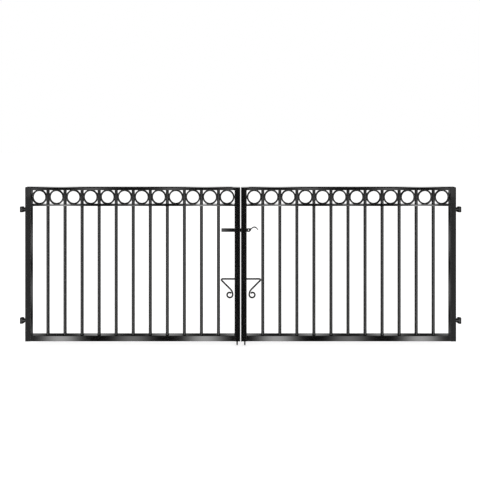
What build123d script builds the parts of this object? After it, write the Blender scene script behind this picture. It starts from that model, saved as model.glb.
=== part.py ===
"""Pair of low driveway gate leaves with a band of rings, hinge pins, gravity latch and drop bolts.

Sizes are in millimetres. X runs along the gate, +Y leads away from the road side and +Z is up.
Pieces are drawn about the gate's own middle: x = 0 half way between the leaves, y = 0 in the middle of
the frame's depth and z = 0 at the foot of the leaves. Each is drawn for the right leaf and mirrored for
the left one. They are moved as they are written, so that the origin lies on the end of the lower left
hinge pin's shank, the face that meets the post.
"""

import os

from build123d import *

# Frame of one leaf: square box uprights and foot rail, flatter top rail, flat bar under the rings.
GATE_HEIGHT = 1073.0
LEAF_GAP = 5.0
BOX_SIZE = 40.0
BOX_WALL = 3.0
BOX_CORNER = 3.0
CAP_THICKNESS = 3.0
TOP_RAIL_HEIGHT = 20.0
TOP_RAIL_WALL = 2.0
RING_RAIL_THICKNESS = 10.0

# Infill: round bars with a ring between each two, the rings let into what they stand against.
BARS_PER_LEAF = 11
BAR_DIAMETER = 22.0
BAR_HOLE_CLEARANCE = 0.2
RING_DIAMETER = 106.0
RING_WALL = 12.0
RING_DEPTH = 8.0
RING_SEAT_AT_RAIL = 3.0
RING_SEAT_AT_BAR = 4.3

# Hinges: an eye welded to the outer upright, turning on a pin whose shank runs back to the post.
EYE_OFFSET = 29.5
EYE_DIAMETER = 28.0
EYE_HEIGHT = 29.0
EYE_CHAMFER = 1.0
NECK_DIAMETER_AT_EYE = 26.0
NECK_DIAMETER_AT_STILE = 16.0
LOWER_HINGE_HEIGHT = 138.5
UPPER_HINGE_HEIGHT = 916.5
PIN_DIAMETER = 16.0
PIN_CLEARANCE = 0.05
PIN_BELOW_EYE_TOP = 1.0
PIN_CHAMFER = 2.0
SHANK_THICKNESS = 8.0
SHANK_WIDTH = 28.0
SHANK_REACH = 45.0
SEAT_GAP = 0.3

# Drop bolts: a round bar behind each meeting upright, bent into a scrolled handle.
# The scroll is a run of arcs, each a radius in bar diameters and the degrees it turns.
BOLT_DIAMETER = 12.0
BOLT_END_DIAMETER = 11.0
BOLT_END_LENGTH = 42.0
BOLT_END_CHAMFER = 3.0
BOLT_REACH_BELOW = 49.0
LEFT_BOLT_OFFSET = 24.6
RIGHT_BOLT_OFFSET = 29.5
BOLT_CLEARANCE = 0.05
BOLT_STANDOFF = 10.0
GUIDE_WIDTH = 20.0
GUIDE_HEIGHT = 30.0
LOWER_GUIDE_FOOT = 20.0
UPPER_GUIDE_FOOT = 330.0
COLLAR_DIAMETER = 18.0
COLLAR_HEIGHT = 10.0
HANDLE_HEIGHT = 418.0
HANDLE_REACH = 110.0
HANDLE_BEND_RADIUS = 7.0
SCROLL_TURNS = ((4.75, 45), (1.67, 90), (1.62, 90), (1.42, 90), (0.75, 75))
SCROLL_BESIDE_BOLT = 48.2

# Latch: a flat arm on a stud of the right leaf, falling into a hooked keep on the left one.
LATCH_HEIGHT = 764.0
LATCH_STANDOFF = 5.0
ARM_HEIGHT = 25.0
ARM_THICKNESS = 6.0
ARM_LEFT_REACH = 136.0
ARM_RIGHT_REACH = 73.0
ARM_CORNER_CUT = 9.0
ARM_CORNER_RADIUS = 3.0
LOCK_HOLE_DIAMETER = 8.5
LOCK_HOLE_REACH = 56.0
STUD_DIAMETER = 12.0
STUD_CLEARANCE = 0.05
STUD_HEAD_DIAMETER = 22.0
STUD_HEAD_THICKNESS = 4.0
TAIL_REACH = 125.0
TAIL_PEAK_REACH = 96.0
TAIL_PEAK_RISE = 21.0
TAIL_ROOT_RISE = 6.0
TAIL_ROOT_WIDTH = 10.0
TAIL_TIP_WIDTH = 6.0
KEEP_WIDTH = 30.0
KEEP_THICKNESS = 5.0
KEEP_FOOT_LENGTH = 22.0
KEEP_LIP_GAP = 5.0
KEEP_LIP_RISE = 8.0

# What follows from the sizes above.
RINGS_PER_LEAF = BARS_PER_LEAF + 1
PITCH = RING_DIAMETER + BAR_DIAMETER - 2 * RING_SEAT_AT_BAR
INNER_WIDTH = BARS_PER_LEAF * PITCH + RING_DIAMETER
MEETING_STILE_MIDDLE = (LEAF_GAP + BOX_SIZE) / 2
INFILL_START = LEAF_GAP / 2 + BOX_SIZE
INFILL_MIDDLE = INFILL_START + INNER_WIDTH / 2
HANGING_STILE_MIDDLE = INFILL_START + INNER_WIDTH + BOX_SIZE / 2
STILE_FACE = HANGING_STILE_MIDDLE + BOX_SIZE / 2
FRAME_BACK = BOX_SIZE / 2
TOP_RAIL_FOOT = GATE_HEIGHT - TOP_RAIL_HEIGHT
RING_BAND_HEIGHT = RING_DIAMETER - 2 * RING_SEAT_AT_RAIL
RING_RAIL_TOP = TOP_RAIL_FOOT - RING_BAND_HEIGHT
HINGE_AXIS = STILE_FACE + EYE_OFFSET
BLOCK_HEIGHT = EYE_HEIGHT + SEAT_GAP + SHANK_THICKNESS
BOLT_DEPTH = FRAME_BACK + BOLT_STANDOFF
CORNER_REACH = HANDLE_REACH + HANDLE_BEND_RADIUS * (2**0.5)
SCROLL_START = (SCROLL_BESIDE_BOLT, HANDLE_HEIGHT - CORNER_REACH + SCROLL_BESIDE_BOLT)
ARM_FRONT = FRAME_BACK + LATCH_STANDOFF
ARM_BACK = ARM_FRONT + ARM_THICKNESS
ORIGIN = Vector(-HINGE_AXIS, SHANK_REACH, LOWER_HINGE_HEIGHT - BLOCK_HEIGHT / 2 + SHANK_THICKNESS / 2)


def box_section(width, height, wall, corner):
    """Outline of a hollow rectangular section with rounded edges."""
    outer = RectangleRounded(width, height, corner)
    inner = RectangleRounded(width - 2 * wall, height - 2 * wall, corner / 2)
    return outer - inner


def stile(middle):
    """Box-section upright between its two end caps."""
    length = GATE_HEIGHT - 2 * CAP_THICKNESS
    tube = extrude(box_section(BOX_SIZE, BOX_SIZE, BOX_WALL, BOX_CORNER), length)
    return Pos(middle, 0, CAP_THICKNESS) * tube


def stile_caps():
    """Flat plates that close both ends of both uprights."""
    plate = extrude(RectangleRounded(BOX_SIZE, BOX_SIZE, BOX_CORNER), CAP_THICKNESS)
    caps = Part()
    for middle in (MEETING_STILE_MIDDLE, HANGING_STILE_MIDDLE):
        for foot in (0, GATE_HEIGHT - CAP_THICKNESS):
            caps += Pos(middle, 0, foot) * plate
    return caps


def hollow_rail(height, wall, corner, middle_height):
    """Box-section cross rail between the uprights."""
    section = Plane.YZ * box_section(BOX_SIZE, height, wall, corner)
    return Pos(INFILL_START, 0, middle_height) * extrude(section, INNER_WIDTH)


def bar_places():
    """Distances of the bars from the gate's middle."""
    first = INFILL_START + (RING_DIAMETER + PITCH) / 2
    return [first + PITCH * number for number in range(BARS_PER_LEAF)]


def ring_rail():
    """Flat bar under the rings, punched for the bars."""
    flat = Box(INNER_WIDTH, BOX_SIZE, RING_RAIL_THICKNESS)
    rail = Pos(INFILL_MIDDLE, 0, RING_RAIL_TOP - RING_RAIL_THICKNESS / 2) * flat
    hole = Cylinder(BAR_DIAMETER / 2 + BAR_HOLE_CLEARANCE, 2 * RING_RAIL_THICKNESS)
    for place in bar_places():
        rail -= Pos(place, 0, RING_RAIL_TOP - RING_RAIL_THICKNESS / 2) * hole
    return rail


def bars():
    """Round bars from the foot rail up to the top rail."""
    length = TOP_RAIL_FOOT - BOX_SIZE
    upright = extrude(Circle(BAR_DIAMETER / 2), length)
    return Part() + [Pos(place, 0, BOX_SIZE) * upright for place in bar_places()]


def rings():
    """Rings of flat bar between the rails, ground flat at head and foot and coped to the bars beside."""
    outer = RING_DIAMETER / 2
    hoop = Cylinder(outer, RING_DEPTH) - Cylinder(outer - RING_WALL, RING_DEPTH)
    ring = (Rot(90, 0, 0) * hoop) & Box(RING_DIAMETER, RING_DEPTH, RING_BAND_HEIGHT)
    neighbour = Cylinder(BAR_DIAMETER / 2, RING_BAND_HEIGHT)
    height = RING_RAIL_TOP + RING_BAND_HEIGHT / 2
    first = INFILL_START + outer
    row = []
    for number in range(RINGS_PER_LEAF):
        coped = ring
        if number > 0:
            coped -= Pos(-PITCH / 2, 0, 0) * neighbour
        if number < BARS_PER_LEAF:
            coped -= Pos(PITCH / 2, 0, 0) * neighbour
        row.append(Pos(first + PITCH * number, 0, height) * coped)
    return Part() + row


def hinge_eye(middle_height):
    """Bored eye on a tapered neck, welded to the outer upright."""
    foot = middle_height + BLOCK_HEIGHT / 2 - EYE_HEIGHT
    barrel = extrude(Circle(EYE_DIAMETER / 2), EYE_HEIGHT)
    barrel = chamfer(barrel.edges().filter_by(GeomType.CIRCLE), EYE_CHAMFER)
    neck = Cone(NECK_DIAMETER_AT_STILE / 2, NECK_DIAMETER_AT_EYE / 2, EYE_OFFSET)
    neck = Pos(-EYE_OFFSET / 2, 0, EYE_HEIGHT / 2) * Rot(0, 90, 0) * neck
    bore = Cylinder(PIN_DIAMETER / 2 + PIN_CLEARANCE, 3 * EYE_HEIGHT)
    return Pos(HINGE_AXIS, 0, foot) * (barrel + neck - bore)


def hinge_pin(middle_height):
    """Upright pin on a flat shank that runs back to the post."""
    foot = middle_height - BLOCK_HEIGHT / 2
    outline = Circle(SHANK_WIDTH / 2)
    outline += Pos(0, SHANK_REACH / 2) * Rectangle(SHANK_WIDTH, SHANK_REACH)
    shank = extrude(outline, SHANK_THICKNESS)
    pin = extrude(Circle(PIN_DIAMETER / 2), BLOCK_HEIGHT - PIN_BELOW_EYE_TOP)
    pin = chamfer(pin.edges().group_by(Axis.Z)[-1], PIN_CHAMFER)
    return Pos(HINGE_AXIS, 0, foot) * (shank + pin)


def drop_bolt(offset):
    """Round bar with a turned end, bent over into a handle that ends in a tightening scroll."""
    shoulder = BOLT_END_LENGTH - BOLT_REACH_BELOW
    turns = [(0, shoulder), (0, HANDLE_HEIGHT), (CORNER_REACH, HANDLE_HEIGHT), SCROLL_START]
    with BuildLine(Plane.XZ) as path:
        stretch = FilletPolyline(*turns, radius=HANDLE_BEND_RADIUS)
        for radius, turn in SCROLL_TURNS:
            stretch = JernArc(stretch @ 1, stretch % 1, radius * BOLT_DIAMETER, turn)
    bar = sweep(Pos(0, 0, shoulder) * Circle(BOLT_DIAMETER / 2), path=path.line)
    end = extrude(Circle(BOLT_END_DIAMETER / 2), BOLT_END_LENGTH)
    end = chamfer(end.edges().group_by(Axis.Z)[0], BOLT_END_CHAMFER)
    return Pos(offset, BOLT_DEPTH, 0) * (bar + Pos(0, 0, -BOLT_REACH_BELOW) * end)


def bolt_guides(offset):
    """Two bored lugs on the back of the meeting upright."""
    outline = Circle(GUIDE_WIDTH / 2)
    outline += Pos(0, -BOLT_STANDOFF / 2) * Rectangle(GUIDE_WIDTH, BOLT_STANDOFF)
    outline -= Circle(BOLT_DIAMETER / 2 + BOLT_CLEARANCE)
    lug = extrude(outline, GUIDE_HEIGHT)
    feet = (LOWER_GUIDE_FOOT, UPPER_GUIDE_FOOT)
    return Part() + [Pos(offset, BOLT_DEPTH, foot) * lug for foot in feet]


def bolt_collar(offset):
    """Stop ring on the bolt, resting on the lower guide."""
    ring = Circle(COLLAR_DIAMETER / 2) - Circle(BOLT_DIAMETER / 2 + BOLT_CLEARANCE)
    foot = LOWER_GUIDE_FOOT + GUIDE_HEIGHT + SEAT_GAP
    return Pos(offset, BOLT_DEPTH, foot) * extrude(ring, COLLAR_HEIGHT)


def standing_plate(outline, thickness, front):
    """Plate with an outline drawn in X and Z, from a front face towards +Y."""
    return Pos(0, front + thickness, 0) * Rot(90, 0, 0) * extrude(outline, thickness)


def latch_arm():
    """Flat arm, bored for its stud, with a lock hole and one cut corner."""
    length = ARM_LEFT_REACH + ARM_RIGHT_REACH
    middle = (ARM_RIGHT_REACH - ARM_LEFT_REACH) / 2
    outline = Pos(middle, LATCH_HEIGHT) * Rectangle(length, ARM_HEIGHT)
    corners = outline.vertices().sort_by(Axis.X)
    outline = fillet(corners[:2], ARM_CORNER_RADIUS)
    lower_right = outline.vertices().sort_by(Axis.X)[-2:].sort_by(Axis.Y)[0]
    outline = chamfer(lower_right, ARM_CORNER_CUT)
    stud_hole = Circle(STUD_DIAMETER / 2 + STUD_CLEARANCE)
    outline -= Pos(MEETING_STILE_MIDDLE, LATCH_HEIGHT) * stud_hole
    outline -= Pos(LOCK_HOLE_REACH, LATCH_HEIGHT) * Circle(LOCK_HOLE_DIAMETER / 2)
    return standing_plate(outline, ARM_THICKNESS, ARM_FRONT)


def latch_tail():
    """Thin arched tail that lifts the arm, tapering to its tip."""
    root_half = TAIL_ROOT_WIDTH / 2
    tip_half = TAIL_TIP_WIDTH / 2
    peak_half = (root_half + tip_half) / 2
    root = (ARM_RIGHT_REACH, LATCH_HEIGHT + TAIL_ROOT_RISE)
    peak = (TAIL_PEAK_REACH, LATCH_HEIGHT + TAIL_PEAK_RISE)
    tip = (TAIL_REACH, LATCH_HEIGHT)
    with BuildSketch() as outline:
        with BuildLine():
            upper = Spline(
                (root[0], root[1] + root_half),
                (peak[0], peak[1] + peak_half),
                (tip[0], tip[1] + tip_half),
            )
            lower = Spline(
                (root[0], root[1] - root_half),
                (peak[0], peak[1] - peak_half),
                (tip[0] - tip_half, tip[1] - tip_half),
            )
            Line(upper @ 0, lower @ 0)
            Line(upper @ 1, lower @ 1)
        make_face()
    return standing_plate(outline.sketch, ARM_THICKNESS, ARM_FRONT)


def latch_pivot():
    """Shouldered stud with a round head, on the back of the right meeting upright."""
    shoulder = Cylinder(STUD_HEAD_DIAMETER / 2, LATCH_STANDOFF - SEAT_GAP, align=BASE)
    shaft = Cylinder(STUD_DIAMETER / 2, ARM_BACK + SEAT_GAP - FRAME_BACK, align=BASE)
    head = Cylinder(STUD_HEAD_DIAMETER / 2, STUD_HEAD_THICKNESS, align=BASE)
    head = chamfer(head.edges().group_by(Axis.Z)[-1], 1)
    stud = shoulder + shaft + Pos(0, 0, ARM_BACK + SEAT_GAP - FRAME_BACK) * head
    return Pos(MEETING_STILE_MIDDLE, FRAME_BACK, LATCH_HEIGHT) * Rot(-90, 0, 0) * stud


def latch_keep():
    """Hooked strap on the back of the left meeting upright: foot, ledge and lip."""
    ledge = LATCH_HEIGHT - ARM_HEIGHT / 2 - SEAT_GAP
    lip_back = ARM_BACK + KEEP_LIP_GAP + KEEP_THICKNESS
    lip_top = LATCH_HEIGHT + ARM_HEIGHT / 2 + KEEP_LIP_RISE
    outline = Polyline(
        (FRAME_BACK, ledge - KEEP_THICKNESS - KEEP_FOOT_LENGTH),
        (FRAME_BACK, ledge),
        (lip_back - KEEP_THICKNESS, ledge),
        (lip_back - KEEP_THICKNESS, lip_top),
        (lip_back, lip_top),
        (lip_back, ledge - KEEP_THICKNESS),
        (FRAME_BACK + KEEP_THICKNESS, ledge - KEEP_THICKNESS),
        (FRAME_BACK + KEEP_THICKNESS, ledge - KEEP_THICKNESS - KEEP_FOOT_LENGTH),
        close=True,
    )
    strap = extrude(Plane.YZ * make_face(outline), KEEP_WIDTH / 2, both=True)
    outer_bend = strap.edges().filter_by(Axis.X).sort_by_distance((0, lip_back, ledge - KEEP_THICKNESS))[0]
    strap = fillet(outer_bend, KEEP_THICKNESS)
    return Pos(-MEETING_STILE_MIDDLE, 0, 0) * strap


def write(name, shape):
    """Move a piece into the part's own frame and write it."""
    export_step(Pos(-ORIGIN) * shape, "parts/" + name + ".step")


def write_leaf(side, sided, bolt_offset):
    """Write every piece of one leaf, its drop bolt and its hinge pins."""
    foot_rail = hollow_rail(BOX_SIZE, BOX_WALL, BOX_CORNER, BOX_SIZE / 2)
    top_rail_middle = GATE_HEIGHT - TOP_RAIL_HEIGHT / 2
    top_rail = hollow_rail(TOP_RAIL_HEIGHT, TOP_RAIL_WALL, TOP_RAIL_WALL, top_rail_middle)
    write(side + "_hanging_stile", sided(stile(HANGING_STILE_MIDDLE)))
    write(side + "_meeting_stile", sided(stile(MEETING_STILE_MIDDLE)))
    write(side + "_stile_caps", sided(stile_caps()))
    write(side + "_bottom_rail", sided(foot_rail))
    write(side + "_ring_rail", sided(ring_rail()))
    write(side + "_top_rail", sided(top_rail))
    write(side + "_bars", sided(bars()))
    write(side + "_rings", sided(rings()))
    write(side + "_lower_eye", sided(hinge_eye(LOWER_HINGE_HEIGHT)))
    write(side + "_upper_eye", sided(hinge_eye(UPPER_HINGE_HEIGHT)))
    write(side + "_lower_pin", sided(hinge_pin(LOWER_HINGE_HEIGHT)))
    write(side + "_upper_pin", sided(hinge_pin(UPPER_HINGE_HEIGHT)))
    write(side + "_bolt_guides", sided(bolt_guides(bolt_offset)))
    write(side + "_drop_bolt", sided(drop_bolt(bolt_offset)))
    write(side + "_bolt_collar", sided(bolt_collar(bolt_offset)))


BASE = (Align.CENTER, Align.CENTER, Align.MIN)
os.makedirs("parts", exist_ok=True)
write_leaf("right", lambda shape: shape, RIGHT_BOLT_OFFSET)
write_leaf("left", lambda shape: mirror(shape, about=Plane.YZ), LEFT_BOLT_OFFSET)
write("latch_arm", latch_arm())
write("latch_tail", latch_tail())
write("latch_pivot", latch_pivot())
write("latch_keep", latch_keep())
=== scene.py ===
"""Looks of a pair of iron driveway gate leaves with a band of rings.

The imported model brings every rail, upright, bar, ring, eye, pin, bolt and latch piece. This script paints
them, adds the weld beads and tacks that join them, the rounded faces of the rings and the roll pins of the
bolts' collars, and sets up the studio. Sizes are in metres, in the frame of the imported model: X along the
shut gate, +Y from the road side to the latch side, +Z up.
"""

import enum
import logging
import math
from dataclasses import dataclass, field
from typing import Any, Iterable, Sequence, Union

import bmesh
import bpy
import numpy as np
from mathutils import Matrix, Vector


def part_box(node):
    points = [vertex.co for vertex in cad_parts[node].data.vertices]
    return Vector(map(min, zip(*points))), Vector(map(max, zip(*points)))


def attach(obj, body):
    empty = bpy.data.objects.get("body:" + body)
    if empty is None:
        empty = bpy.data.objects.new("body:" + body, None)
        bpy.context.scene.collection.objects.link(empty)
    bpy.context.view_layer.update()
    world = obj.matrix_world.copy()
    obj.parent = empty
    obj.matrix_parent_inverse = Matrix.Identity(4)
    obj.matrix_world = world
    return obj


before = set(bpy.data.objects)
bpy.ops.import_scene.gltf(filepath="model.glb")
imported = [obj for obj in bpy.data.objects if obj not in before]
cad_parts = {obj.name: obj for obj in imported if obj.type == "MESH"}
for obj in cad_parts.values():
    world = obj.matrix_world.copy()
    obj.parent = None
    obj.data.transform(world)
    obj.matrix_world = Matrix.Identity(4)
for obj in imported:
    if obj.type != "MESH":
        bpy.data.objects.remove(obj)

LOG = logging.getLogger("gate")
MM = 0.001
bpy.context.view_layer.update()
BARS_PER_LEAF = 11
RING_RADIUS = 53.0 * MM
RING_WALL = 12.0 * MM
PAINT_IOR = 1.55
WHITE = (1.0, 1.0, 1.0, 1.0)


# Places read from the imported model


class Side(enum.Enum):
    """One of the two leaves; the value is the direction from the gate's middle to its hinges."""

    LEFT = -1
    RIGHT = 1

    @property
    def prefix(self) -> str:
        """Name that the leaf's nodes and pieces start with."""
        return self.name.lower() + "_"

    @property
    def leaf(self) -> str:
        """Body that the leaf's fixed pieces ride on."""
        return self.prefix + "leaf"

    @property
    def bolt(self) -> str:
        """Body that the leaf's drop bolt rides on."""
        return self.prefix + "bolt"


@dataclass(frozen=True)
class Extent:
    """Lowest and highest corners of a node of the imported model."""

    low: np.ndarray
    high: np.ndarray

    @classmethod
    def of(cls, node: str) -> "Extent":
        """Read a node's corners.

        Args:
            node: Name of the node.

        Returns:
            The node's extent at rest.
        """
        low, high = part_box(node)
        return cls(np.array(low), np.array(high))

    @property
    def middle(self) -> np.ndarray:
        """Point half way between the corners."""
        return (self.low + self.high) / 2

    @property
    def size(self) -> np.ndarray:
        """Lengths of the edges."""
        return self.high - self.low

    def inner_x(self, side: Side) -> float:
        """Face that looks to the gate's middle."""
        return float(self.low[0] if side is Side.RIGHT else self.high[0])

    def outer_x(self, side: Side) -> float:
        """Face that looks to the hinges."""
        return float(self.high[0] if side is Side.RIGHT else self.low[0])


def bar_centres(side: Side) -> np.ndarray:
    """Places of the bars' axes along X, evenly spread over the node that holds them.

    Args:
        side: The leaf.

    Returns:
        One X for each bar.
    """
    bars = Extent.of(side.prefix + "bars")
    radius = bars.size[1] / 2
    return np.linspace(bars.low[0] + radius, bars.high[0] - radius, BARS_PER_LEAF)


# Surfaces


@dataclass
class Surface:
    """Quads gathered from any number of tubes, to become one piece."""

    points: list = field(default_factory=list)
    quads: list = field(default_factory=list)
    count: int = 0
    weld_distance: float = 0.001 * MM

    def add_tube(self, grid: np.ndarray, looped: bool = False) -> None:
        """Add a tube of points, joined to their neighbours by quads.

        Args:
            grid: Points, indexed by row along the tube, place around it and coordinate.
            looped: Whether the last row joins the first.
        """
        rows, around = grid.shape[:2]
        row = np.arange(rows if looped else rows - 1)[:, None]
        place = np.arange(around)[None, :]
        next_row = (row + 1) % rows
        next_place = (place + 1) % around
        corners = [
            row * around + place,
            row * around + next_place,
            next_row * around + next_place,
            next_row * around + place,
        ]
        quads = np.stack(np.broadcast_arrays(*corners), axis=-1).reshape(-1, 4)
        self.points.append(grid.reshape(-1, 3))
        self.quads.append(quads + self.count)
        self.count += rows * around

    def piece(self, name: str, body: str, slot: str, material: bpy.types.Material) -> bpy.types.Object:
        """Make the gathered tubes one object that rides on a body.

        Args:
            name: Name of the piece.
            body: Body that it moves with.
            slot: Slot of the record; not used.
            material: Its material.

        Returns:
            The new object.
        """
        mesh = bpy.data.meshes.new(name)
        mesh.from_pydata(np.concatenate(self.points).tolist(), [], np.concatenate(self.quads).tolist())
        shell = bmesh.new()
        shell.from_mesh(mesh)
        bmesh.ops.remove_doubles(shell, verts=shell.verts, dist=self.weld_distance)
        bmesh.ops.recalc_face_normals(shell, faces=shell.faces)
        shell.to_mesh(mesh)
        shell.free()
        mesh.shade_smooth()
        mesh.materials.append(material)
        piece = bpy.data.objects.new(name, mesh)
        bpy.context.scene.collection.objects.link(piece)
        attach(piece, body)
        LOG.info("%s: %d faces", name, len(mesh.polygons))
        return piece


def unit(vectors: np.ndarray) -> np.ndarray:
    """Vectors divided by their lengths."""
    return vectors / np.linalg.norm(vectors, axis=-1, keepdims=True)


def carried(path: np.ndarray, out: np.ndarray, radii: np.ndarray, around: int, closed: bool) -> np.ndarray:
    """Carry a circle along a path.

    The point at step s and angle a is path(s) + r(s) (cos a * out(s) + sin a * across(s)), where across is
    the cross product of the path's direction and out.

    Args:
        path: Points of the centre line.
        out: Direction of angle 0 at each point, or one direction for all.
        radii: Radius at each point.
        around: Points around the circle.
        closed: Whether the path is a loop.

    Returns:
        Grid of points, a row for each point of the path.
    """
    if closed:
        heading = np.roll(path, -1, axis=0) - np.roll(path, 1, axis=0)
    else:
        heading = np.gradient(path, axis=0)
    out = np.broadcast_to(out, path.shape)
    across = unit(np.cross(heading, out))
    out = unit(np.cross(across, heading))
    angle = np.linspace(0, 2 * math.pi, around, endpoint=False)
    ring = np.cos(angle)[None, :, None] * out[:, None] + np.sin(angle)[None, :, None] * across[:, None]
    return path[:, None] + radii[:, None, None] * ring


# Welds


@dataclass(frozen=True)
class Bead:
    """Run of weld metal: a rippled roll laid into a corner.

    Its radius at distance s is radius * (1 + ripple * w(s)), where w is a rounded saw that repeats every
    pitch, and it falls to nothing over the first and last pitch of an open run.
    """

    radius: float = 2.4 * MM
    pitch: float = 2.6 * MM
    ripple: float = 0.16
    roundness: float = 0.6
    around: int = 8
    steps_per_ripple: int = 4
    least_steps: int = 8
    least_ripples: int = 6

    def swell(self, distance: np.ndarray) -> np.ndarray:
        """Share of the full radius at each distance along the run."""
        phase = (distance / self.pitch) % 1.0
        return 1 + self.ripple * (np.sin(math.pi * phase) ** self.roundness - 0.5)

    def line(self, start: Sequence[float], end: Sequence[float], out: Sequence[float]) -> np.ndarray:
        """Straight run.

        Args:
            start: First end.
            end: Other end.
            out: Direction away from the corner.

        Returns:
            Grid of the run's surface, closed to a point at both ends.
        """
        start_point, end_point = np.array(start, float), np.array(end, float)
        length = float(np.linalg.norm(end_point - start_point))
        steps = max(int(length / self.pitch * self.steps_per_ripple), self.least_steps)
        share = np.linspace(0, 1, steps + 1)
        path = start_point + share[:, None] * (end_point - start_point)
        distance = share * length
        nearest_end = np.minimum(distance, length - distance)
        taper = np.sqrt(np.clip(nearest_end / self.pitch, 0, 1))
        radii = self.radius * self.swell(distance) * taper
        return carried(path, np.array(out, float), radii, self.around, False)

    def loop(self, centre: Sequence[float], radius: float, axis: Sequence[float]) -> np.ndarray:
        """Run around a round piece.

        Args:
            centre: Middle of the round piece where it meets the flat one.
            radius: Radius of the round piece.
            axis: Its direction, along one of the frame's axes.

        Returns:
            Grid of the run's surface, to be closed into a loop.
        """
        along = unit(np.array(axis, float))
        side = (1.0, 0.0, 0.0) if along[1] else (0.0, 1.0, 0.0)
        first = unit(np.cross(along, side))
        second = np.cross(along, first)
        ripples = max(round(2 * math.pi * radius / self.pitch), self.least_ripples)
        angle = np.linspace(0, 2 * math.pi, ripples * self.steps_per_ripple, endpoint=False)
        spoke = np.cos(angle)[:, None] * first + np.sin(angle)[:, None] * second
        path = np.array(centre, float) + radius * spoke
        radii = self.radius * self.swell(angle * ripples * self.pitch / (2 * math.pi))
        return carried(path, spoke, radii, self.around, True)


@dataclass(frozen=True)
class Tack:
    """Short dab of weld metal, shaped like an egg that lies along the contact.

    The point at angles p and q is centre + height cos q cos p along out, + length sin q along run and
    + width cos q sin p across both.
    """

    length: float = 4.6 * MM
    width: float = 1.8 * MM
    height: float = 1.6 * MM
    around: int = 8
    along: int = 5

    def at(self, centre: Sequence[float], run: Sequence[float], out: Sequence[float]) -> np.ndarray:
        """Surface of one dab.

        Args:
            centre: Middle of the contact.
            run: Direction in which the contact runs.
            out: Direction away from the supporting face.

        Returns:
            Grid of the dab's surface, closed to a point at both ends.
        """
        run_axis = unit(np.array(run, float))
        out_axis = unit(np.array(out, float))
        cross_axis = np.cross(run_axis, out_axis)
        end = np.linspace(-math.pi / 2, math.pi / 2, self.along)[:, None, None]
        turn = np.linspace(0, 2 * math.pi, self.around, endpoint=False)[None, :, None]
        lengthways = self.length * np.sin(end) * run_axis
        outwards = self.height * np.cos(end) * np.cos(turn) * out_axis
        sideways = self.width * np.cos(end) * np.sin(turn) * cross_axis
        return np.array(centre, float) + lengthways + outwards + sideways


@dataclass(frozen=True)
class Dome:
    """Rounded face of a ring, bulging from its flat face.

    The point at angle p around the ring and angle a across the face is
    centre + (R + r sin a) (cos p, 0, sin p) + r cos a along Y,
    where R is the radius of the bar's middle line and r the radius of its rounding.
    """

    middle_radius: float
    rounding: float = 5.95 * MM
    half_depth: float = 4.0 * MM
    sunk: float = 0.1 * MM
    around: int = 72
    across: int = 10

    def at(self, centre: Sequence[float], way: float) -> np.ndarray:
        """Surface of one face, closed by a hidden chord.

        Args:
            centre: Middle of the ring.
            way: 1 for the face towards +Y, -1 for the other.

        Returns:
            Grid of points, a row for each step around the ring.
        """
        reach = math.acos((self.half_depth - self.sunk) / self.rounding)
        lean = np.linspace(-reach, reach, self.across)[None, :]
        turn = np.linspace(0, 2 * math.pi, self.around, endpoint=False)[:, None]
        radius = self.middle_radius + self.rounding * np.sin(lean)
        depth = np.broadcast_to(way * self.rounding * np.cos(lean), (self.around, self.across))
        face = np.stack([radius * np.cos(turn), depth, radius * np.sin(turn)], axis=-1)
        return np.array(centre, float) + face


# Shader maths


Socket = bpy.types.NodeSocket
Operand = Union["Signal", float, int]


class Signal:
    """Value socket of a shader, with arithmetic that adds Math nodes."""

    def __init__(self, nodes: "Shader", socket: Socket) -> None:
        """Wrap a socket of a shader."""
        self.nodes = nodes
        self.socket = socket

    def _maths(self, operation: str, *values: Operand, clamp: bool = False) -> "Signal":
        """Math node with this signal's shader.

        Args:
            operation: Name of the operation.
            values: Its inputs in order.
            clamp: Whether the result stays between 0 and 1.

        Returns:
            The node's result.
        """
        settings = {"operation": operation, "use_clamp": clamp}
        made = self.nodes.add("ShaderNodeMath", settings, dict(enumerate(values)))
        return Signal(self.nodes, made.outputs[0])

    def __add__(self, other: Operand) -> "Signal":
        """Sum."""
        return self._maths("ADD", self, other)

    def __radd__(self, other: Operand) -> "Signal":
        """Sum with a number on the left."""
        return self._maths("ADD", other, self)

    def __sub__(self, other: Operand) -> "Signal":
        """Difference."""
        return self._maths("SUBTRACT", self, other)

    def __rsub__(self, other: Operand) -> "Signal":
        """Difference from a number on the left."""
        return self._maths("SUBTRACT", other, self)

    def __mul__(self, other: Operand) -> "Signal":
        """Product."""
        return self._maths("MULTIPLY", self, other)

    def __rmul__(self, other: Operand) -> "Signal":
        """Product with a number on the left."""
        return self._maths("MULTIPLY", other, self)

    def __truediv__(self, other: Operand) -> "Signal":
        """Quotient."""
        return self._maths("DIVIDE", self, other)

    def __pow__(self, other: Operand) -> "Signal":
        """Power."""
        return self._maths("POWER", self, other)

    def __gt__(self, other: Operand) -> "Signal":
        """1 where the signal is larger, else 0."""
        return self._maths("GREATER_THAN", self, other)

    def absolute(self) -> "Signal":
        """Distance from 0."""
        return self._maths("ABSOLUTE", self)

    def cosine(self) -> "Signal":
        """Cosine of the signal in radians."""
        return self._maths("COSINE", self)

    def clamped(self) -> "Signal":
        """The signal kept between 0 and 1."""
        return self._maths("ADD", self, 0.0, clamp=True)

    def step(self, low: float, high: float) -> "Signal":
        """Smooth rise from 0 at low to 1 at high, or a fall where low is the larger."""
        ends = {"From Min": low, "From Max": high, "Value": self}
        made = self.nodes.add("ShaderNodeMapRange", {"interpolation_type": "SMOOTHSTEP"}, ends)
        return Signal(self.nodes, made.outputs["Result"])

    def lifted(self, least: float) -> "Signal":
        """The signal with 0 raised to a least value and 1 kept."""
        return self * (1 - least) + least


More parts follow.
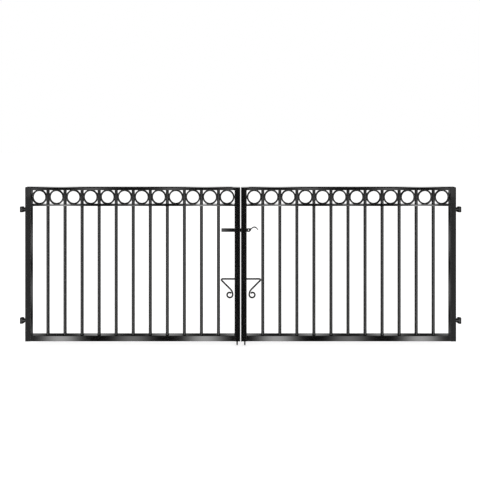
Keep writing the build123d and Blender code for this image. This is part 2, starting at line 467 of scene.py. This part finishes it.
class Shader:
    """Node tree of a material or of the world, filled by one method."""

    MIX_COLOURS = (6, 7)
    MIX_RESULT = 2

    def __init__(self, tree: bpy.types.NodeTree) -> None:
        """Empty a tree."""
        self.tree = tree
        tree.nodes.clear()

    def add(self, kind: str, settings: dict[str, Any], inputs: dict[Any, Any]) -> bpy.types.Node:
        """Add a node.

        Args:
            kind: The node's type.
            settings: Properties, set before its inputs.
            inputs: Values, signals or sockets by input name or number.

        Returns:
            The node.
        """
        node = self.tree.nodes.new(kind)
        for name, value in settings.items():
            setattr(node, name, value)
        for key, value in inputs.items():
            if isinstance(value, Signal):
                self.tree.links.new(value.socket, node.inputs[key])
            elif isinstance(value, Socket):
                self.tree.links.new(value, node.inputs[key])
            else:
                node.inputs[key].default_value = value
        return node

    def place(self) -> Socket:
        """Place on the object, in metres."""
        return self.add("ShaderNodeTexCoord", {}, {}).outputs["Object"]

    def axes(self, vector: Socket) -> tuple[Signal, Signal, Signal]:
        """Signals of a vector's three parts."""
        parts = self.add("ShaderNodeSeparateXYZ", {}, {"Vector": vector}).outputs
        return Signal(self, parts["X"]), Signal(self, parts["Y"]), Signal(self, parts["Z"])

    def scaled(self, vector: Socket, scale: Sequence[float]) -> Socket:
        """Place stretched by a factor along each axis."""
        settings = {"vector_type": "POINT"}
        return self.add("ShaderNodeMapping", settings, {"Vector": vector, "Scale": scale}).outputs["Vector"]

    def noise(self, vector: Socket, scale: float, detail: float = 3.0, rough: float = 0.5) -> Signal:
        """Cloudy noise between 0 and 1.

        Args:
            vector: Place that it reads.
            scale: Clouds per metre.
            detail: Finer layers on top of the first.
            rough: Strength of each finer layer.

        Returns:
            The noise.
        """
        inputs = {"Vector": vector, "Scale": scale, "Detail": detail, "Roughness": rough}
        made = self.add("ShaderNodeTexNoise", {"noise_dimensions": "3D"}, inputs)
        return Signal(self, made.outputs["Fac"])

    def blend(self, share: Signal, first: Any, second: Any) -> Socket:
        """Colour between two colours.

        Args:
            share: 0 for the first, 1 for the second.
            first: Colour or socket.
            second: Colour or socket.

        Returns:
            The mixed colour.
        """
        node = self.add("ShaderNodeMix", {"data_type": "RGBA"}, {"Factor": share})
        for number, value in zip(self.MIX_COLOURS, (first, second)):
            if isinstance(value, Socket):
                self.tree.links.new(value, node.inputs[number])
            else:
                node.inputs[number].default_value = (*value, 1.0)
        return node.outputs[self.MIX_RESULT]

    def bump(self, height: Signal, depth: float) -> Socket:
        """Normal bent by a height.

        Args:
            height: Height between 0 and 1.
            depth: Size of a height of 1 in metres.

        Returns:
            The normal.
        """
        inputs = {"Height": height, "Distance": depth, "Strength": 1.0}
        return self.add("ShaderNodeBump", {}, inputs).outputs["Normal"]

    def surface(self, shader: Socket, kind: str = "ShaderNodeOutputMaterial") -> None:
        """Lead a shader to the tree's output."""
        self.add(kind, {}, {"Surface": shader})

    def principled(self, inputs: dict[str, Any]) -> None:
        """Lead a Principled shader with these inputs to the tree's output."""
        self.surface(self.add("ShaderNodeBsdfPrincipled", {}, inputs).outputs["BSDF"])


def new_shader(name: str) -> tuple[bpy.types.Material, Shader]:
    """Material with an empty tree, and the shader that fills it."""
    material = bpy.data.materials.new(name)
    material.use_nodes = True
    return material, Shader(material.node_tree)


# Finishes


Span = tuple[float, float]
Triple = tuple[float, float, float]
Colour = Triple
Rgba = tuple[float, float, float, float]


@dataclass(frozen=True)
class GlossBlack:
    """Stoved gloss black with a fine orange-peel skin, slow waviness and a film of dust on top faces."""

    name: str
    pigment: Colour = (0.0035, 0.0035, 0.0036)
    dust: Colour = (0.09, 0.085, 0.078)
    dust_share: float = 0.05
    roughness: float = 0.06
    roughness_swing: float = 0.03
    coat: float = 1.0
    coat_roughness: float = 0.03
    peel_depth: float = 0.003 * MM
    wave_depth: float = 0.008 * MM
    clouds_per_metre: float = 9.0
    specks_per_metre: float = 900.0
    peel_per_metre: float = 420.0
    waves_per_metre: float = 26.0
    cloud_span: Span = (0.35, 0.7)
    speck_span: Span = (0.62, 0.75)
    upward_span: Span = (0.5, 0.95)
    least_patch: float = 0.4
    least_side: float = 0.2
    speck_share: float = 0.5
    dust_roughness: float = 0.8

    def skin(self, nodes: Shader) -> tuple[Socket, Signal, Socket]:
        """Colour, roughness and normal of the unworn paint.

        Args:
            nodes: Shader that takes the nodes.

        Returns:
            Colour, roughness and normal.
        """
        place = nodes.place()
        clouds = nodes.noise(place, self.clouds_per_metre, detail=4.0, rough=0.6)
        specks = nodes.noise(place, self.specks_per_metre, detail=2.0).step(*self.speck_span)
        facing = nodes.add("ShaderNodeNewGeometry", {}, {}).outputs["Normal"]
        upward = nodes.axes(facing)[2].step(*self.upward_span)
        patches = clouds.step(*self.cloud_span).lifted(self.least_patch)
        film = patches * upward.lifted(self.least_side) * self.dust_share
        dusty = (film + specks * self.dust_share * self.speck_share).clamped()
        colour = nodes.blend(dusty, self.pigment, self.dust)
        roughness = self.roughness + (clouds - 0.5) * self.roughness_swing + film * self.dust_roughness
        peel = nodes.noise(place, self.peel_per_metre, detail=1.0)
        wave = nodes.noise(place, self.waves_per_metre, detail=1.0)
        depth = self.peel_depth + self.wave_depth
        share = self.peel_depth / depth
        return colour, roughness, nodes.bump(peel * share + wave * (1 - share), depth)

    def lacquer(self, coat: Any) -> dict[str, Any]:
        """Inputs of the clear coat, at a constant or varying weight."""
        weights = {"IOR": PAINT_IOR, "Coat Weight": coat}
        return weights | {"Coat Roughness": self.coat_roughness, "Coat IOR": PAINT_IOR}

    def build(self) -> bpy.types.Material:
        """Material of the unworn paint."""
        material, nodes = new_shader(self.name)
        colour, roughness, normal = self.skin(nodes)
        inputs = {"Base Color": colour, "Roughness": roughness, "Normal": normal}
        nodes.principled(inputs | self.lacquer(self.coat))
        return material


@dataclass(frozen=True, kw_only=True)
class RubbedBlack(GlossBlack):
    """The same paint, rubbed through to grey steel in stretches where the piece slides or drops."""

    stretches: tuple[Span, ...]
    steel: Colour = (0.20, 0.195, 0.19)
    axis: int = 2
    feather: float = 6 * MM
    scuffs_per_metre: Triple = (500.0, 500.0, 60.0)
    patches_per_metre: float = 60.0
    strength: float = 0.8
    bare_from: float = 0.55
    bare_rise: float = 0.25
    bare_roughness: float = 0.28
    scuff_roughness: float = 0.2

    def zone(self, along: Signal, stretch: Span) -> Signal:
        """1 within a stretch and 0 beyond it, with soft ends."""
        low, high = stretch
        rise = along.step(low - self.feather, low + self.feather)
        return rise * along.step(high + self.feather, high - self.feather)

    def build(self) -> bpy.types.Material:
        """Material of the rubbed paint."""
        material, nodes = new_shader(self.name)
        colour, roughness, normal = self.skin(nodes)
        place = nodes.place()
        along = nodes.axes(place)[self.axis]
        scuffs = nodes.noise(nodes.scaled(place, self.scuffs_per_metre), 1.0, detail=4.0, rough=0.65)
        patches = nodes.noise(place, self.patches_per_metre)
        zones = [self.zone(along, stretch) for stretch in self.stretches]
        worn = sum(zones[1:], zones[0])
        rubbed = worn * (scuffs * self.strength + patches * self.strength)
        bare = (rubbed - self.bare_from).step(0.0, self.bare_rise)
        steel_roughness = self.bare_roughness + scuffs * self.scuff_roughness
        inputs = {
            "Base Color": nodes.blend(bare, colour, self.steel),
            "Roughness": roughness * (1 - bare) + steel_roughness * bare,
            "Metallic": bare,
            "Normal": normal,
        }
        nodes.principled(inputs | self.lacquer((1 - bare) * self.coat))
        return material


@dataclass(frozen=True)
class GreasedSteel:
    """Turned steel with fine tool rings and dark smears of grease."""

    name: str
    steel: Colour = (0.11, 0.106, 0.10)
    grease: Colour = (0.010, 0.009, 0.007)
    roughness: float = 0.34
    smears_per_metre: float = 55.0
    smear_span: Span = (0.36, 0.54)
    rings_per_metre: Triple = (30.0, 30.0, 2600.0)
    ring_depth: float = 0.02 * MM
    ring_roughness: float = 0.25
    smear_gloss: float = 0.12
    smear_cover: float = 0.85

    def build(self) -> bpy.types.Material:
        """Material of the greased steel."""
        material, nodes = new_shader(self.name)
        place = nodes.place()
        smear = nodes.noise(place, self.smears_per_metre, detail=4.0, rough=0.6).step(*self.smear_span)
        rings = nodes.noise(nodes.scaled(place, self.rings_per_metre), 1.0, detail=2.0)
        turned = self.roughness + (rings - 0.5) * self.ring_roughness
        inputs = {
            "Base Color": nodes.blend(smear, self.steel, self.grease),
            "Roughness": turned - smear * self.smear_gloss,
            "Metallic": 1 - smear * self.smear_cover,
            "Normal": nodes.bump(rings, self.ring_depth),
        }
        nodes.principled(inputs)
        return material


class Slot(enum.Enum):
    """Material slots of the record."""

    FRAME = "frame_paint"
    INFILL = "infill_paint"
    FITTING = "fitting_paint"
    STEEL = "bare_steel"


def dress(node: str, material: bpy.types.Material) -> None:
    """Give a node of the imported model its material.

    Args:
        node: Name of the node.
        material: Its material.
    """
    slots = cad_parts[node].data.materials
    if not slots:
        slots.append(material)
    for number in range(len(slots)):
        slots[number] = material
    LOG.info("%s: %s", node, material.name)


# Sub-assemblies


@dataclass
class Leaf:
    """One gate leaf: painted frame, infill and fittings, the welds that hold them and the rings' faces."""

    side: Side
    frame_paint: bpy.types.Material
    infill_paint: bpy.types.Material
    fitting_paint: bpy.types.Material
    corner_bead: Bead = Bead()
    foot_bead: Bead = Bead(radius=1.9 * MM, pitch=2.4 * MM, around=6)
    tack: Tack = Tack()
    corner_inset: float = 3.0 * MM
    neck_radius: float = 8.3 * MM
    guide_height: float = 30.0 * MM
    guide_inset: float = 2.0 * MM
    line_contact: float = 7.0 * MM

    FRAME_NODES = ("hanging_stile", "meeting_stile", "stile_caps", "bottom_rail", "ring_rail", "top_rail")
    INFILL_NODES = ("bars", "rings")
    FITTING_NODES = ("lower_eye", "upper_eye", "bolt_guides")

    def node(self, name: str) -> Extent:
        """Extent of one of the leaf's nodes."""
        return Extent.of(self.side.prefix + name)

    def add(self, surface: Surface, name: str, slot: Slot, paint: bpy.types.Material) -> None:
        """Make a surface a piece that rides on the leaf."""
        surface.piece(self.side.prefix + name, self.side.leaf, slot.value, paint)

    def paint(self) -> None:
        """Give every node of the leaf its material."""
        for names, material in (
            (self.FRAME_NODES, self.frame_paint),
            (self.INFILL_NODES, self.infill_paint),
            (self.FITTING_NODES, self.fitting_paint),
        ):
            for name in names:
                dress(self.side.prefix + name, material)

    def rail_corners(self) -> Iterable[tuple[float, float, int, int]]:
        """Corners between the cross rails and the uprights.

        Yields:
            X and Z of the corner, and the directions along X and Z that lead out of it.
        """
        outward = self.side.value
        ends = (
            (self.node("meeting_stile").outer_x(self.side), outward),
            (self.node("hanging_stile").inner_x(self.side), -outward),
        )
        heights = (
            (self.node("bottom_rail").high[2], 1),
            (self.node("ring_rail").low[2], -1),
            (self.node("ring_rail").high[2], 1),
            (self.node("top_rail").low[2], -1),
        )
        for x, along in ends:
            for z, upward in heights:
                yield x, z, along, upward

    def frame_welds(self) -> None:
        """Beads in the corners between rails and uprights, across the frame's depth."""
        welds = Surface()
        depth = self.node("bottom_rail")
        front, back = depth.low[1] + self.corner_inset, depth.high[1] - self.corner_inset
        for x, z, along, upward in self.rail_corners():
            welds.add_tube(self.corner_bead.line((x, front, z), (x, back, z), (along, 0, upward)))
        self.add(welds, "frame_welds", Slot.FRAME, self.frame_paint)

    def bar_welds(self) -> None:
        """Beads around both ends of every bar."""
        welds = Surface()
        bars = self.node("bars")
        middle_y = float(bars.middle[1])
        radius = float(bars.size[1]) / 2
        for x in bar_centres(self.side):
            for z, direction in ((bars.low[2], 1.0), (bars.high[2], -1.0)):
                loop = self.foot_bead.loop((x, middle_y, z), radius, (0, 0, direction))
                welds.add_tube(loop, looped=True)
        self.add(welds, "bar_welds", Slot.INFILL, self.infill_paint)

    def ring_tacks(self) -> None:
        """Dabs in the eight corners where every ring runs into the rails and what stands beside it.

        A ring is let into a bar, and only touches an upright, so there the dabs lie close to the contact.
        """
        dabs = Surface()
        rings = self.node("rings")
        middle_y, middle_z = float(rings.middle[1]), float(rings.middle[2])
        centres = self.ring_centres()
        rail_reach = float(rings.size[2]) / 2
        bar_reach = (centres[1] - centres[0]) / 2 - float(self.node("bars").size[1]) / 2
        along_rail = math.sqrt(RING_RADIUS**2 - rail_reach**2)
        along_bar = math.sqrt(RING_RADIUS**2 - bar_reach**2)
        at_rail, at_bar = (along_rail, rail_reach), (bar_reach, along_bar)
        at_upright = (RING_RADIUS, self.line_contact)
        uprights = {(0, -1), (len(centres) - 1, 1)}
        for number, x in enumerate(centres):
            for x_way in (-1, 1):
                beside = at_upright if (number, x_way) in uprights else at_bar
                for z_way in (-1, 1):
                    for across, up in (at_rail, beside):
                        corner = (x + x_way * across, middle_y, middle_z + z_way * up)
                        dabs.add_tube(self.tack.at(corner, (0, 1, 0), (x_way, 0, z_way)))
        self.add(dabs, "ring_tacks", Slot.INFILL, self.infill_paint)

    def ring_faces(self) -> None:
        """Rounded front and back of every ring."""
        domes = Surface()
        middle = self.node("rings").middle
        dome = Dome(middle_radius=RING_RADIUS - RING_WALL / 2)
        for x in self.ring_centres():
            for way in (-1.0, 1.0):
                domes.add_tube(dome.at((x, middle[1], middle[2]), way), looped=True)
        self.add(domes, "ring_faces", Slot.INFILL, self.infill_paint)

    def ring_centres(self) -> np.ndarray:
        """Places of the rings' middles along X."""
        bars = bar_centres(self.side)
        pitch = bars[1] - bars[0]
        return np.concatenate([bars - pitch / 2, bars[-1:] + pitch / 2])

    def fitting_welds(self) -> None:
        """Beads around the eyes' necks and beside the bolt guides."""
        welds = Surface()
        outward = self.side.value
        face = self.node("hanging_stile").outer_x(self.side)
        for name in ("lower_eye", "upper_eye"):
            eye = self.node(name).middle
            loop = self.corner_bead.loop((face, eye[1], eye[2]), self.neck_radius, (outward, 0, 0))
            welds.add_tube(loop, looped=True)
        guides = self.node("bolt_guides")
        back = float(self.node("meeting_stile").high[1])
        for foot in (guides.low[2], guides.high[2] - self.guide_height):
            low, high = foot + self.guide_inset, foot + self.guide_height - self.guide_inset
            for x, way in ((guides.low[0], -1), (guides.high[0], 1)):
                welds.add_tube(self.corner_bead.line((x, back, low), (x, back, high), (way, 1, 0)))
        self.add(welds, "fitting_welds", Slot.FITTING, self.fitting_paint)

    def build(self) -> None:
        """Paint the leaf, lay its welds and round its rings."""
        self.paint()
        self.frame_welds()
        self.bar_welds()
        self.ring_tacks()
        self.ring_faces()
        self.fitting_welds()


@dataclass
class DropBolt:
    """Sliding bolt of one leaf, with the roll pin that holds its collar."""

    side: Side
    rubbed_tip: Span = (-20 * MM, 4 * MM)
    rubbed_run: Span = (-34 * MM, 6 * MM)
    pin_radius: float = 1.5 * MM
    pin_wall: float = 0.4 * MM
    pin_stands_out: float = 0.8 * MM
    pin_rim: float = 0.2 * MM
    pin_half_gap: float = 0.5
    pin_steps: int = 20

    def paint(self) -> None:
        """Black paint, rubbed bright at the turned end and where the bolt runs in its guides."""
        bolt = Extent.of(self.side.prefix + "drop_bolt")
        guides = Extent.of(self.side.prefix + "bolt_guides")
        ends = ((float(bolt.low[2]), self.rubbed_tip), (float(guides.high[2]), self.rubbed_run))
        stretches = tuple((z + low, z + high) for z, (low, high) in ends)
        finish = RubbedBlack(self.side.prefix + "bolt_black", stretches=stretches)
        dress(self.side.prefix + "drop_bolt", finish.build())
        dress(self.side.prefix + "bolt_collar", GlossBlack(self.side.prefix + "collar_black").build())

    def roll_pin(self, material: bpy.types.Material) -> None:
        """Split tube through the collar, open along one side.

        The tube's wall is a C whose point at angle a and depth t is (r - t)(cos a, sin a), carried along Y.

        Args:
            material: Steel of the pin.
        """
        collar = Extent.of(self.side.prefix + "bolt_collar")
        x, z = float(collar.middle[0]), float(collar.middle[2])
        front = float(collar.low[1]) - self.pin_stands_out
        back = float(collar.high[1]) + self.pin_stands_out
        sweep = np.linspace(self.pin_half_gap, 2 * math.pi - self.pin_half_gap, self.pin_steps)
        spokes = np.stack([np.cos(sweep), np.sin(sweep)], axis=1)
        inner = (self.pin_radius - self.pin_wall) * spokes
        outline = np.concatenate([self.pin_radius * spokes, inner[::-1]])
        middle_line = (outline + outline[::-1]) / 2
        depths = (front, front, front + self.pin_rim, back - self.pin_rim, back, back)
        lines = (middle_line, outline, outline, outline, outline, middle_line)
        rows = [
            np.stack([x + line[:, 0], np.full(len(line), y), z + line[:, 1]], axis=1)
            for y, line in zip(depths, lines)
        ]
        pin = Surface()
        pin.add_tube(np.stack(rows))
        pin.piece(self.side.prefix + "roll_pin", self.side.bolt, Slot.STEEL.value, material)

    def build(self, steel: bpy.types.Material) -> None:
        """Paint the bolt and add its pin."""
        self.paint()
        self.roll_pin(steel)


@dataclass
class Latch:
    """Latch arm with its tail, stud and keep, and the welds that hold the stud and the keep."""

    fitting_paint: bpy.types.Material
    bead: Bead = Bead(radius=2.0 * MM)
    rubbed_margin: float = 2.0 * MM
    foot_span: Span = (2.0 * MM, 24.0 * MM)

    def paint(self) -> None:
        """Black paint, rubbed on the arm where it drops into the keep."""
        keep = Extent.of("latch_keep")
        stretch = (float(keep.low[0]) - self.rubbed_margin, float(keep.high[0]) + self.rubbed_margin)
        rubbed = RubbedBlack("latch_black", axis=0, stretches=(stretch,)).build()
        dress("latch_arm", rubbed)
        for node in ("latch_tail", "latch_pivot", "latch_keep"):
            dress(node, self.fitting_paint)

    def welds(self) -> None:
        """Beads around the stud's shoulder and down both sides of the keep's foot."""
        pivot, keep = Extent.of("latch_pivot"), Extent.of("latch_keep")
        stud = Surface()
        centre = (pivot.middle[0], pivot.low[1], pivot.middle[2])
        stud.add_tube(self.bead.loop(centre, float(pivot.size[0]) / 2, (0, 1, 0)), looped=True)
        stud.piece("latch_stud_weld", Side.RIGHT.leaf, Slot.FITTING.value, self.fitting_paint)
        foot = Surface()
        face = keep.low[1]
        low, high = (float(keep.low[2]) + rise for rise in self.foot_span)
        for x, way in ((keep.low[0], -1), (keep.high[0], 1)):
            foot.add_tube(self.bead.line((x, face, low), (x, face, high), (way, 1, 0)))
        foot.piece("latch_keep_welds", Side.LEFT.leaf, Slot.FITTING.value, self.fitting_paint)

    def build(self) -> None:
        """Paint the latch and lay its welds."""
        self.paint()
        self.welds()


# Studio


@dataclass(frozen=True)
class Surroundings:
    """White surroundings that reflections see as soft bands.

    With u = x / |y| and v = z / |y| of a reflected ray and a(t) = (0.5 + 0.5 cos t)^2, the side before
    the gate glows by a(2 pi u / pitch + pi) where the ray falls. The side behind it glows by
    a(2 pi u / pitch) where the ray rises, and in level bands of 0.5 + 0.5 cos(2 pi (v - v0) / fall pitch)
    where it falls. Close to the horizon, which only the two upper rails reflect, bright and dark bands
    change places, but not in the very middle. Heights and reaches are values of v and |u|.
    """

    ambient: float = 0.8
    rise: Span = (0.0, 0.1)
    band_pitch: float = 0.152
    band_edge: float = 0.46
    edge_feather: float = 0.04
    band_glow: float = 3.3
    middle_band: float = 0.42
    middle_feather: float = 0.03
    side_glow: float = 0.27
    upper_glow: float = 0.08
    back_glow: float = 0.85
    fall_start: float = -0.17
    fall_pitch: float = 0.107
    fall_glow: float = 0.25
    rear_glow: float = 0.03
    crest_foot: Span = (-0.190, -0.182)
    crest_head: Span = (0.30, 0.26)
    crest_middle: Span = (0.014, 0.022)
    crest_dimming: float = 0.65
    gap_head: Span = (0.195, 0.185)
    gap_low: float = 0.35
    gap_all: float = 0.6
    least_depth: float = 0.001

    def glow(self, nodes: Shader) -> Signal:
        """Brightness that a reflected ray sees.

        Args:
            nodes: Shader of the world.

        Returns:
            The brightness by the ray's direction.
        """
        x, y, z = nodes.axes(nodes.add("ShaderNodeTexCoord", {}, {}).outputs["Generated"])
        rises = z.step(*self.rise)
        away = y.absolute() + self.least_depth
        slope = x / away
        reach = slope.absolute()
        height = z / away
        edge, feather, pitch = self.band_edge, self.middle_feather, self.band_pitch
        crest = height.step(*self.crest_foot) * height.step(*self.crest_head) * reach.step(*self.crest_middle)
        wave = (slope * (2 * math.pi / pitch)).cosine() * (0.5 - crest)
        level = ((height - self.fall_start) * (2 * math.pi / self.fall_pitch)).cosine() * 0.5 + 0.5
        inside = reach.step(edge, edge - self.edge_feather)
        middle = reach.step(pitch - feather, pitch + feather)
        middle = middle * reach.step(2 * pitch + feather, 2 * pitch - feather)
        strength = (1 - middle * (1 - self.middle_band)) * (1 - crest * self.crest_dimming) * self.band_glow
        bands = (0.5 - wave) ** 2 * strength * inside + (1 - inside) * self.side_glow
        before = bands * (1 - rises) + rises * self.upper_glow
        gap = middle * crest * (height.step(*self.gap_head) * self.gap_low + self.gap_all)
        behind = (0.5 + wave) ** 2 * (1 - gap) * self.back_glow * inside * rises
        behind = behind + level * self.fall_glow * (1 - rises) + self.rear_glow
        is_behind = y > 0.0
        return before * (1 - is_behind) + behind * is_behind

    def build(self) -> None:
        """White for the camera, even light for the paint's diffuse part, bands for its gloss."""
        world = bpy.data.worlds.new("studio")
        bpy.context.scene.world = world
        world.use_nodes = True
        world.cycles.sampling_method = "NONE"
        nodes = Shader(world.node_tree)
        glow = self.glow(nodes)
        rays = nodes.add("ShaderNodeLightPath", {}, {}).outputs
        plain = nodes.add("ShaderNodeBackground", {}, {"Color": WHITE, "Strength": self.ambient})
        banded = nodes.add("ShaderNodeBackground", {}, {"Color": WHITE, "Strength": glow})
        white = nodes.add("ShaderNodeBackground", {}, {"Color": WHITE, "Strength": 1.0})
        lit = {0: rays["Is Glossy Ray"], 1: plain.outputs[0], 2: banded.outputs[0]}
        for_object = nodes.add("ShaderNodeMixShader", {}, lit).outputs[0]
        seen = {0: rays["Is Camera Ray"], 1: for_object, 2: white.outputs[0]}
        nodes.surface(nodes.add("ShaderNodeMixShader", {}, seen).outputs[0], "ShaderNodeOutputWorld")


@dataclass
class Studio:
    """White studio: camera before the gate's middle, pale floor, soft lamps and banded reflections."""

    image_width: float = 480.0
    gate_width_px: float = 431.35
    gate_middle_px: float = 240.63
    gate_foot_px: float = 341.1
    eye_above_foot: float = 1.62
    distance: float = 3.3
    sensor: float = 36.0
    floor_half: float = 14.0
    floor_grey: Rgba = (0.8, 0.8, 0.8, 1.0)
    floor_glow: Rgba = (0.5, 0.5, 0.5, 1.0)
    aim_above_foot: float = 0.5
    lamp_size: float = 3.0
    surroundings: Surroundings = Surroundings()

    def __post_init__(self) -> None:
        """Read the gate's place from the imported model."""
        left, right = Extent.of("left_hanging_stile"), Extent.of("right_hanging_stile")
        self.left_edge = float(left.low[0])
        self.right_edge = float(right.high[0])
        self.front = float(left.low[1])
        self.foot = float(left.low[2])
        self.middle = (self.left_edge + self.right_edge) / 2
        self.ground = float(Extent.of("left_drop_bolt").low[2])

    def camera(self) -> None:
        """Level camera, shifted down to frame the gate without leaning its uprights."""
        metres_per_px = (self.right_edge - self.left_edge) / self.gate_width_px
        view_width = metres_per_px * self.image_width
        horizon_px = self.gate_foot_px - self.eye_above_foot / metres_per_px
        lens = bpy.data.cameras.new("studio_camera")
        lens.sensor_fit = "HORIZONTAL"
        lens.sensor_width = self.sensor
        lens.lens = self.sensor * self.distance / view_width
        lens.shift_x = (self.image_width / 2 - self.gate_middle_px) / self.image_width
        lens.shift_y = (horizon_px - self.image_width / 2) / self.image_width
        camera = bpy.data.objects.new("studio_camera", lens)
        camera.location = (self.middle, self.front - self.distance, self.foot + self.eye_above_foot)
        camera.rotation_euler = (math.pi / 2, 0.0, 0.0)
        bpy.context.scene.collection.objects.link(camera)
        bpy.context.scene.camera = camera

    def floor(self) -> None:
        """Pale floor that keeps the soft shadow and lets reflections through to the studio's bands."""
        half, y = self.floor_half, self.front
        across = np.linspace(self.middle - half, self.middle + half, 2)
        along = np.linspace(y - half, y + half, 2)
        mesh = bpy.data.meshes.new("floor")
        corners = [(float(a), float(b), self.ground) for b in along for a in across]
        mesh.from_pydata(corners, [], [(0, 1, 3, 2)])
        floor = bpy.data.objects.new("floor", mesh)
        bpy.context.scene.collection.objects.link(floor)
        material, nodes = new_shader("floor_white")
        rays = nodes.add("ShaderNodeLightPath", {}, {}).outputs
        paper = nodes.add("ShaderNodeBsdfDiffuse", {}, {"Color": self.floor_grey}).outputs["BSDF"]
        glow = nodes.add("ShaderNodeEmission", {}, {"Color": self.floor_glow}).outputs["Emission"]
        seen = nodes.add("ShaderNodeAddShader", {}, {0: paper, 1: glow}).outputs["Shader"]
        through = nodes.add("ShaderNodeBsdfTransparent", {}, {}).outputs["BSDF"]
        for_camera = nodes.add("ShaderNodeMixShader", {}, {0: rays["Is Camera Ray"], 1: paper, 2: seen})
        mixed = {0: rays["Is Glossy Ray"], 1: for_camera.outputs["Shader"], 2: through}
        nodes.surface(nodes.add("ShaderNodeMixShader", {}, mixed).outputs["Shader"])
        mesh.materials.append(material)

    def lamp(self, name: str, place: Sequence[float], watts: float) -> None:
        """Square softbox that looks at the gate's middle.

        Args:
            name: Name of the lamp.
            place: Offset from the point that it looks at.
            watts: Its power.
        """
        light = bpy.data.lights.new(name, "AREA")
        light.size = self.lamp_size
        light.energy = watts
        lamp = bpy.data.objects.new(name, light)
        lamp.visible_glossy = False
        centre = np.array([self.middle, self.front, self.foot + self.aim_above_foot])
        offset = np.array(place, float)
        lamp.location = centre + offset
        yaw = math.atan2(offset[0], -offset[1])
        tilt = math.atan2(math.hypot(offset[0], offset[1]), offset[2])
        lamp.rotation_euler = (tilt, 0.0, yaw)
        bpy.context.scene.collection.objects.link(lamp)

    def build(self) -> None:
        """Set up camera, floor, surroundings and lamps."""
        bpy.context.scene.view_settings.view_transform = "Standard"
        self.camera()
        self.floor()
        self.surroundings.build()
        self.lamp("key_softbox", place=(-2.5, -3.5, 3.2), watts=60.0)
        self.lamp("fill_softbox", place=(3.0, -3.0, 2.0), watts=30.0)


def main() -> None:
    """Build the studio, both leaves, their bolts and the latch."""
    logging.basicConfig(level=logging.INFO, format="%(message)s")
    Studio().build()
    frame_paint = GlossBlack("frame_black").build()
    infill_paint = GlossBlack("infill_black", roughness=0.08).build()
    fitting_paint = GlossBlack("fitting_black", roughness=0.2, coat=0.7).build()
    steel = GreasedSteel("greased_steel").build()
    for side in Side:
        Leaf(side, frame_paint, infill_paint, fitting_paint).build()
        DropBolt(side).build(steel)
        for name in ("lower_pin", "upper_pin"):
            dress(side.prefix + name, steel)
    Latch(fitting_paint).build()


if __name__ == "__main__":
    main()
